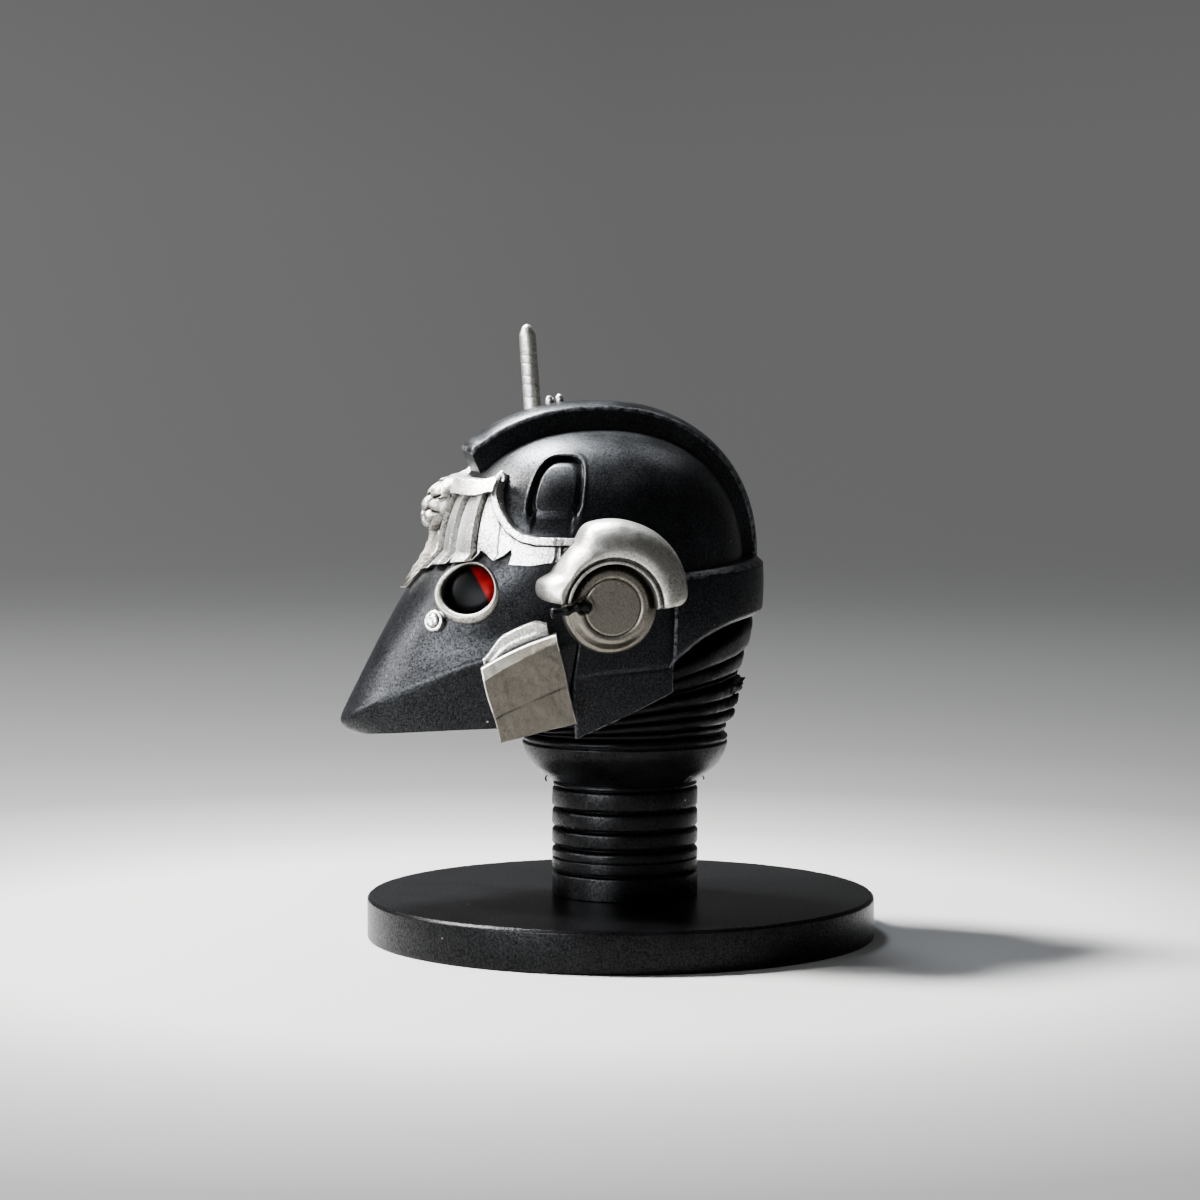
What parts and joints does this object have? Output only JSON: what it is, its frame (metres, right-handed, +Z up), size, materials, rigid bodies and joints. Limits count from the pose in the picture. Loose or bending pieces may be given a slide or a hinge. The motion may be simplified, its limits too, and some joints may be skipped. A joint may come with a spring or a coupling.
{
  "type": "miniature costume helmet on a display stand",
  "caption": "Beaked miniature helmet with comb, ear discs and cheek plates, on a ribbed neck and post over a round base.",
  "frame": {"origin": "centre of the round base's underside, on the surface that it stands on", "axes": "+Z up through the post and the helmet, -Y to the helmet's front and beak, +X to its left ear"},
  "size_m": [0.06, 0.0634, 0.0723],
  "materials": {
    "satin_black": "satin black plastic with fine dust",
    "bellows_black": "satin black plastic",
    "stand_black": "smooth black plastic",
    "antique_nickel": "antique nickel with dark speckled patina",
    "ruby_lens": "clear red plastic over a dark back"
  },
  "bodies": {
    "root": {"stand_base": "stand_black", "stand_post": "stand_black", "neck_collar": "stand_black", "neck_bellows": "bellows_black", "skull_shell": "satin_black", "crest_comb": "satin_black", "nape_band": "satin_black", "visor_beak": "satin_black", "cheek_guard_left": "satin_black", "cheek_guard_right": "satin_black", "ear_peg_left": "satin_black", "ear_peg_right": "satin_black", "brow_plate": "antique_nickel", "brow_boss": "antique_nickel", "nasal_leaf": "antique_nickel", "eye_rim_left": "antique_nickel", "eye_rim_right": "antique_nickel", "eye_lug_left": "antique_nickel", "eye_lug_right": "antique_nickel", "ear_disc_left": "antique_nickel", "ear_disc_right": "antique_nickel", "ear_hood_left": "antique_nickel", "ear_hood_right": "antique_nickel", "cheek_plate_left": "antique_nickel", "cheek_plate_right": "antique_nickel", "cheek_backplate_left": "antique_nickel", "cheek_backplate_right": "antique_nickel", "antenna_rod": "antique_nickel", "comb_stud_front": "antique_nickel", "comb_stud_rear": "antique_nickel", "eye_lens_left": "ruby_lens", "eye_lens_right": "ruby_lens"}
  },
  "joints": []
}
